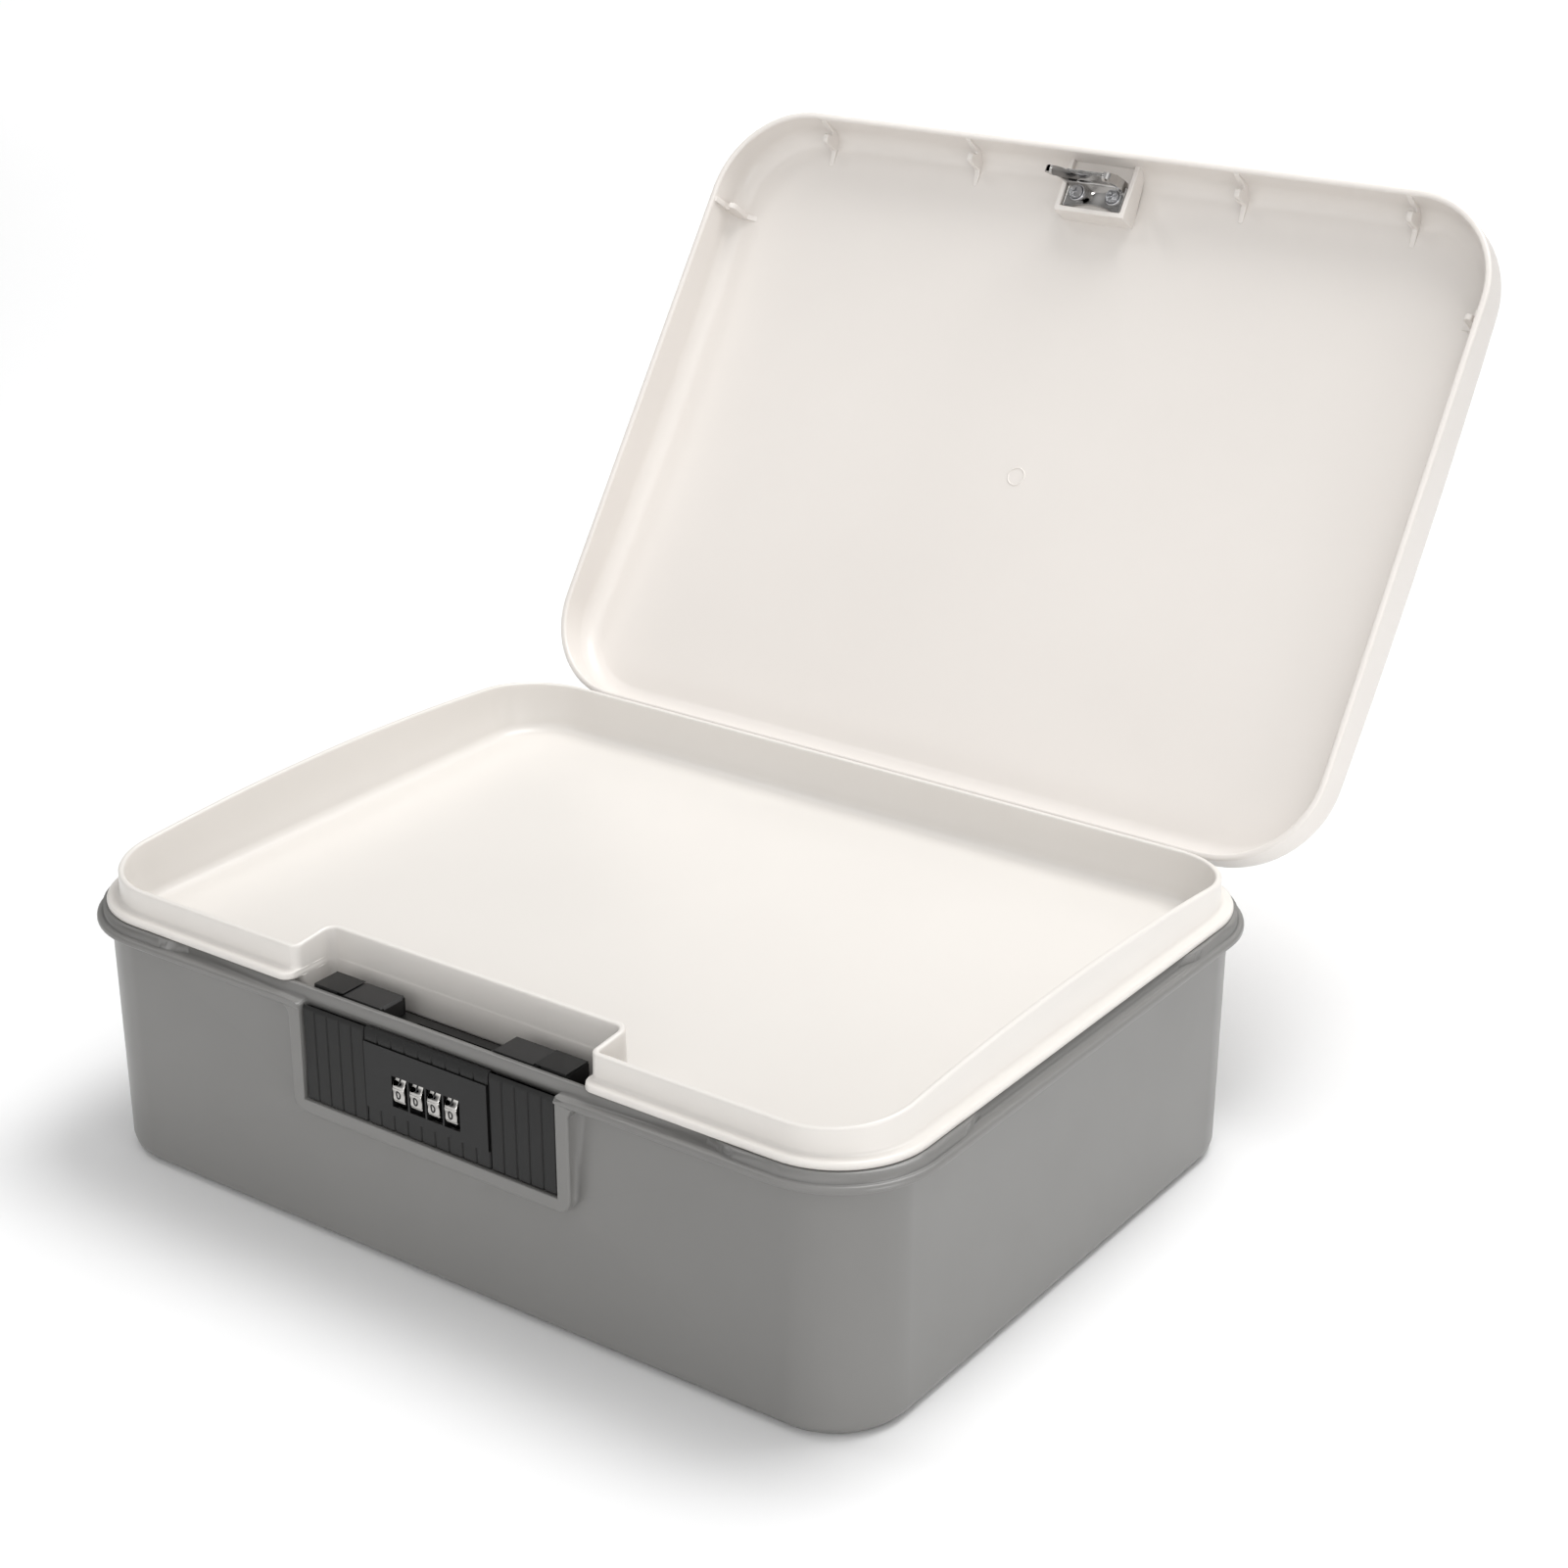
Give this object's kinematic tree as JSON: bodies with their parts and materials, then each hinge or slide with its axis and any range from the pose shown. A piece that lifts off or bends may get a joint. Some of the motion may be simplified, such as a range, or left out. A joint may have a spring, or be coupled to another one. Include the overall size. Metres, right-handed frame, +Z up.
{
  "type": "combination lock box",
  "caption": "Portable lock box with a lift-out tray, a hinged lid, a number-wheel lock and press-in thumb pads that release a two-hook latch.",
  "frame": {"origin": "centre of the base on the ground, with the case standing flat", "axes": "+X to the right seen from the lock's side, +Y to the back where the hinges are, +Z up"},
  "size_m": [0.322, 0.3907, 0.2898],
  "materials": {
    "case_plastic": "mid grey moulded plastic, fine satin",
    "tray_plastic": "warm white moulded plastic, soft gloss",
    "lid_plastic": "warm white moulded plastic, soft gloss",
    "pin_steel": "plain steel rod",
    "bracket_steel": "bright stamped steel",
    "screw_steel": "zinc plated screws",
    "lock_plastic": "black moulded plastic",
    "pad_plastic": "black moulded plastic, fluted",
    "plate_plastic": "black moulded plastic, smooth satin",
    "bolt_plastic": "dark grey moulded plastic",
    "spring_steel": "spring steel",
    "wheel_chrome": "chrome with dark engraved digits",
    "sleeve_brass": "plain brass"
  },
  "bodies": {
    "case_body": {"case": "case_plastic", "hinge_pin_left": "pin_steel", "hinge_pin_right": "pin_steel", "lock_housing": "lock_plastic", "lock_back_cover": "lock_plastic", "back_cover_screws": "screw_steel", "housing_screws": "screw_steel", "front_cover": "pad_plastic", "window_plate": "plate_plastic", "cover_screws": "screw_steel", "bolt_spring_left": "spring_steel", "bolt_spring_right": "spring_steel", "wheel_shaft": "pin_steel", "detent_spring": "spring_steel"},
    "lid_body": {"lid": "lid_plastic", "latch_bracket": "bracket_steel", "bracket_screws": "screw_steel"},
    "tray_body": {"tray": "tray_plastic"},
    "pad_left_body": {"thumb_pad_left": "pad_plastic"},
    "pad_right_body": {"thumb_pad_right": "pad_plastic"},
    "bolt_left_body": {"latch_bolt_left": "bolt_plastic"},
    "bolt_right_body": {"latch_bolt_right": "bolt_plastic"},
    "wheel_1_body": {"number_wheel_1": "wheel_chrome", "gate_sleeve_1": "sleeve_brass"},
    "wheel_2_body": {"number_wheel_2": "wheel_chrome", "gate_sleeve_2": "sleeve_brass"},
    "wheel_3_body": {"number_wheel_3": "wheel_chrome", "gate_sleeve_3": "sleeve_brass"},
    "wheel_4_body": {"number_wheel_4": "wheel_chrome", "gate_sleeve_4": "sleeve_brass"}
  },
  "joints": [
    {"name": "lid_hinge", "type": "hinge", "parent": "case_body", "child": "lid_body", "pos_m": [0, 0.1239, 0.0868], "axis": [-1, 0, 0], "range_deg": [-124.3, 0]},
    {"name": "tray_lift", "type": "slide", "parent": "case_body", "child": "tray_body", "axis": [0, 0, 1], "range_m": [0, 0.1]},
    {"name": "press_pad_left", "type": "slide", "parent": "case_body", "child": "pad_left_body", "axis": [0, -1, 0], "range_m": [-0.0022, 0], "stiffness_N_per_m": 600},
    {"name": "press_pad_right", "type": "slide", "parent": "case_body", "child": "pad_right_body", "axis": [0, -1, 0], "range_m": [-0.0022, 0], "stiffness_N_per_m": 600},
    {"name": "draw_bolt_left", "type": "slide", "parent": "case_body", "child": "bolt_left_body", "axis": [1, 0, 0], "range_m": [-0.0022, 0], "deforming": ["bolt_spring_left"]},
    {"name": "draw_bolt_right", "type": "slide", "parent": "case_body", "child": "bolt_right_body", "axis": [-1, 0, 0], "range_m": [-0.0022, 0], "deforming": ["bolt_spring_right"]},
    {"name": "turn_wheel_1", "type": "hinge", "parent": "case_body", "child": "wheel_1_body", "pos_m": [-0.01035, -0.1118, 0.0665], "axis": [1, 0, 0], "continuous": true},
    {"name": "turn_wheel_2", "type": "hinge", "parent": "case_body", "child": "wheel_2_body", "pos_m": [-0.00345, -0.1118, 0.0665], "axis": [1, 0, 0], "continuous": true},
    {"name": "turn_wheel_3", "type": "hinge", "parent": "case_body", "child": "wheel_3_body", "pos_m": [0.00345, -0.1118, 0.0665], "axis": [1, 0, 0], "continuous": true},
    {"name": "turn_wheel_4", "type": "hinge", "parent": "case_body", "child": "wheel_4_body", "pos_m": [0.01035, -0.1118, 0.0665], "axis": [1, 0, 0], "continuous": true}
  ],
  "couplings": [
    {"joint": "draw_bolt_left", "follows": "press_pad_left", "ratio": 1},
    {"joint": "draw_bolt_right", "follows": "press_pad_right", "ratio": 1}
  ]
}
